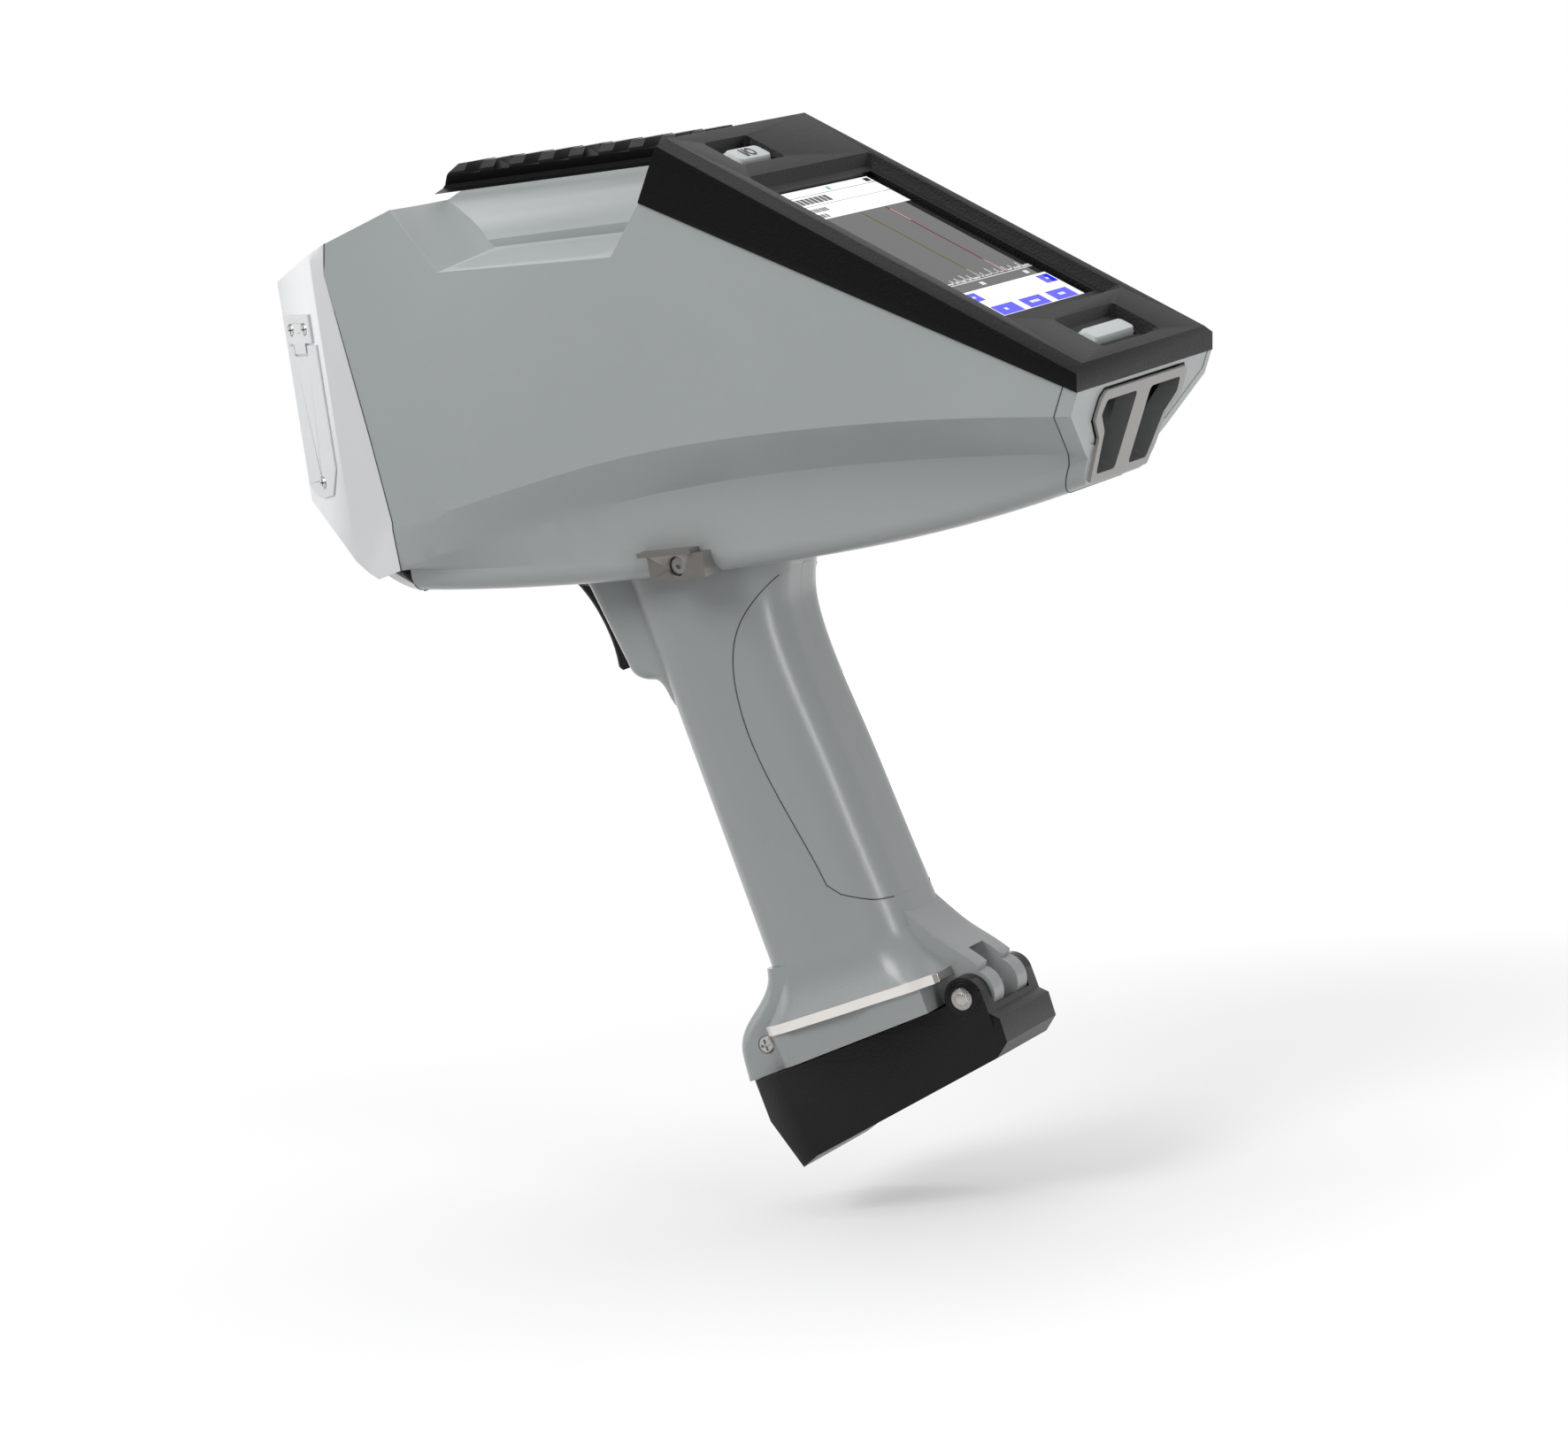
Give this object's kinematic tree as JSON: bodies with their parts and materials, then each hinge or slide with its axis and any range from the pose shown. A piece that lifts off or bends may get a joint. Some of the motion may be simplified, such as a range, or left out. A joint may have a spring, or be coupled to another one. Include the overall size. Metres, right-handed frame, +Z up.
{
  "type": "handheld XRF analyzer",
  "caption": "Pistol-grip X-ray fluorescence analyzer with slanted metal nose, top accessory rail, sloped display bezel, trigger and hinged battery door.",
  "frame": {"origin": "centre of the measuring face at the front of the nose, on the beam axis", "axes": "+X to the rear along the top rail, +Z up square to the rail, +Y to the operator's right"},
  "size_m": [0.2575, 0.0934, 0.2998],
  "materials": {
    "body_grey": "satin light grey paint over a moulded shell",
    "handle_grey": "satin mid grey moulding",
    "nose_metal": "fine bead-blasted",
    "plate_metal": "fine brushed stainless",
    "screw_steel": "plain machine screws",
    "rail_black": "black hard coat",
    "bezel_black": "fine-textured black moulding",
    "glass": "clear cover glass",
    "display": "display panel",
    "button_grey": "smooth light grey keys",
    "door_black": "black boot",
    "trigger_black": "smooth black",
    "spring_steel": "spring wire",
    "film": "thin window film",
    "seal_rubber": "seal",
    "fin_metal": "anodised fins",
    "duct_black": "moulded duct",
    "tube_metal": "shielded tube can",
    "board_green": "circuit board",
    "cell_wrap": "battery case",
    "supply_case": "sealed supply can"
  },
  "bodies": {
    "housing": {"left_housing": "body_grey", "right_housing": "body_grey", "rear_cap": "body_grey", "nose_cap": "nose_metal", "measuring_window_plate": "plate_metal", "window_film": "film", "nose_seal": "seal_rubber", "filter_port_retainer": "nose_metal", "filter_port_cover": "nose_metal", "facet_screws": "screw_steel", "accessory_rail": "rail_black", "rail_screws": "screw_steel", "display_bezel": "bezel_black", "touch_glass": "glass", "lcd_module": "display", "vent_frame": "handle_grey", "heat_sink": "fin_metal", "air_duct": "duct_black", "handle_left": "handle_grey", "handle_right": "handle_grey", "grip_pad_left": "handle_grey", "grip_pad_right": "handle_grey", "front_strap": "handle_grey", "trigger_pin": "screw_steel", "trigger_spring": "spring_steel", "trigger_switch": "duct_black", "handle_collar": "handle_grey", "base_plate": "plate_metal", "collar_screws": "screw_steel", "hinge_pin": "plate_metal", "battery": "cell_wrap", "battery_contacts": "duct_black", "docking_lug_left": "plate_metal", "docking_lug_right": "plate_metal", "docking_screws": "screw_steel", "xray_tube": "tube_metal", "detector_module": "tube_metal", "filter_motor": "tube_metal", "high_voltage_supply": "supply_case", "main_board": "board_green"},
    "trigger": {"trigger": "trigger_black"},
    "power_button": {"power_button": "button_grey"},
    "start_button": {"start_button": "button_grey"},
    "battery_door": {"battery_door": "door_black"},
    "filter_wheel": {"filter_wheel": "fin_metal"}
  },
  "joints": [
    {"name": "trigger_pull", "type": "hinge", "parent": "housing", "child": "trigger", "pos_m": [0.08249, 0, -0.07085], "axis": [0, -1, 0], "range_deg": [0, 8], "stiffness_Nm_per_rad": 0.15, "springref_deg": -5.73, "deforming": ["trigger_spring"]},
    {"name": "power_press", "type": "slide", "parent": "housing", "child": "power_button", "axis": [-0.5398, 0, -0.8418], "range_m": [0, 0.0012], "stiffness_N_per_m": 800, "springref_m": -0.001},
    {"name": "start_press", "type": "slide", "parent": "housing", "child": "start_button", "axis": [-0.5398, 0, -0.8418], "range_m": [0, 0.0012], "stiffness_N_per_m": 800, "springref_m": -0.001},
    {"name": "door_swing", "type": "hinge", "parent": "housing", "child": "battery_door", "pos_m": [0.18113, 0, -0.19363], "axis": [0, -1, 0], "range_deg": [0, 95]},
    {"name": "filter_spin", "type": "hinge", "parent": "housing", "child": "filter_wheel", "pos_m": [0.008, 0.0145, 0.004], "axis": [1, 0, 0], "continuous": true}
  ]
}
